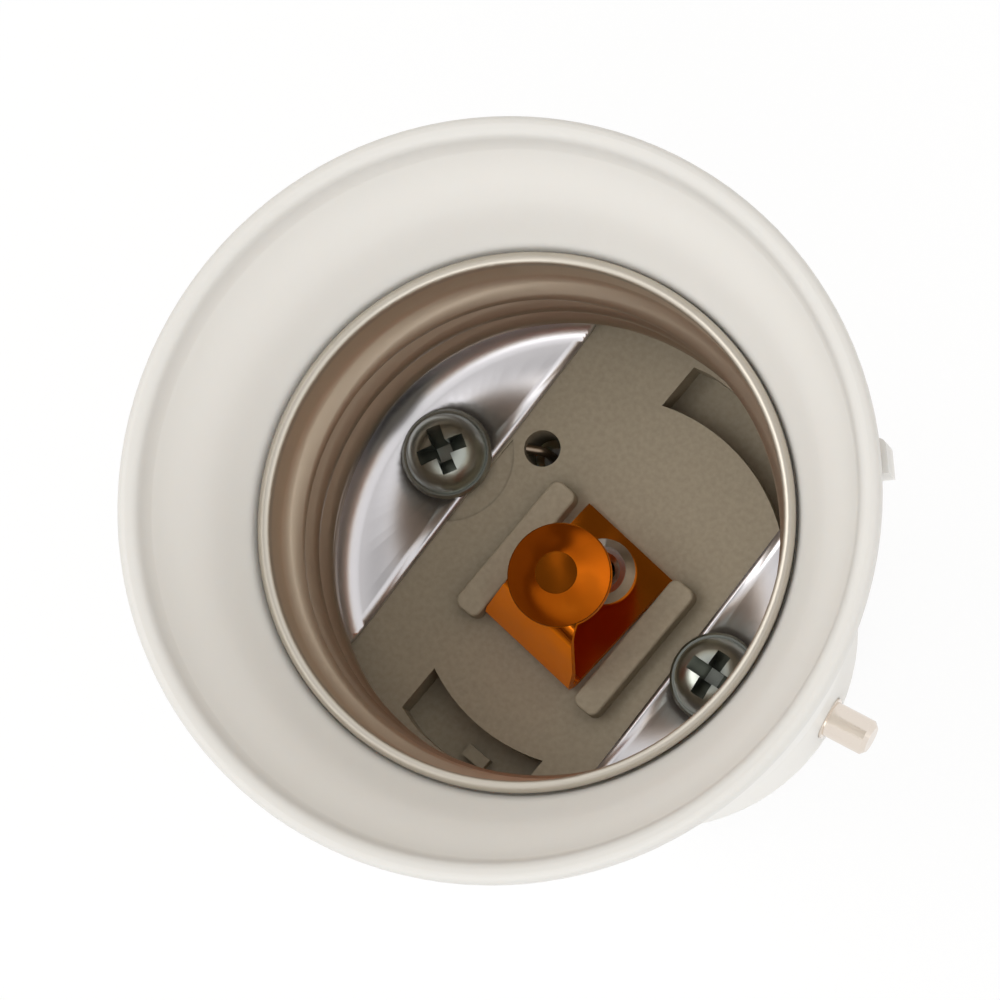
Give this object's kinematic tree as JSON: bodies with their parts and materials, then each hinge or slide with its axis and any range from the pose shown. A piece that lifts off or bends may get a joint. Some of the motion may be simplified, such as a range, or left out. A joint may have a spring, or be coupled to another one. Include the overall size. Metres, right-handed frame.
{
  "type": "lamp socket adapter",
  "caption": "Lamp socket adapter: a two-pin bayonet cap flares to a hooded screw socket with a sprung centre contact.",
  "frame": {"origin": "on the axis, in the plane of the two rear contacts' outer faces", "axes": "+Z along the axis, out of the screw socket; +X through the bayonet pin seen in the picture"},
  "size_m": [0.0388, 0.0388, 0.056],
  "materials": {
    "housing": "satin white moulded plastic",
    "insulator": "matte brown-grey speckled moulding",
    "shell": "plated sheet, bright at the curled rim",
    "screws": "zinc plated",
    "contact": "bare copper strip",
    "rivet": "plated",
    "tag": "stamped",
    "solder": "solder",
    "wire": "bare copper",
    "sleeve": "pale insulating sleeve",
    "pins": "nickel plated",
    "rear_contacts": "turned brass"
  },
  "bodies": {
    "adapter": {"housing": "housing", "insulator_base": "insulator", "screw_shell": "shell", "shell_screw_a": "screws", "shell_screw_b": "screws", "contact_foot": "contact", "contact_rivet": "rivet", "centre_tag": "tag", "tag_solder": "solder", "shell_lead_wire": "wire", "shell_lead_sleeve": "sleeve", "centre_lead_wire": "wire", "centre_lead_sleeve": "sleeve", "bayonet_pin_a": "pins", "bayonet_pin_b": "pins", "rear_contact_a": "rear_contacts", "rear_contact_b": "rear_contacts", "rear_solder_a": "solder", "rear_solder_b": "solder"},
    "sprung_contact": {"contact_leaf": "contact"}
  },
  "joints": [
    {"name": "contact_spring", "type": "hinge", "parent": "adapter", "child": "sprung_contact", "pos_m": [-0.00006, -0.00451, 0.0313], "axis": [-0.9659, 0.2588, 0], "range_deg": [0, 15], "stiffness_Nm_per_rad": 0.05}
  ]
}
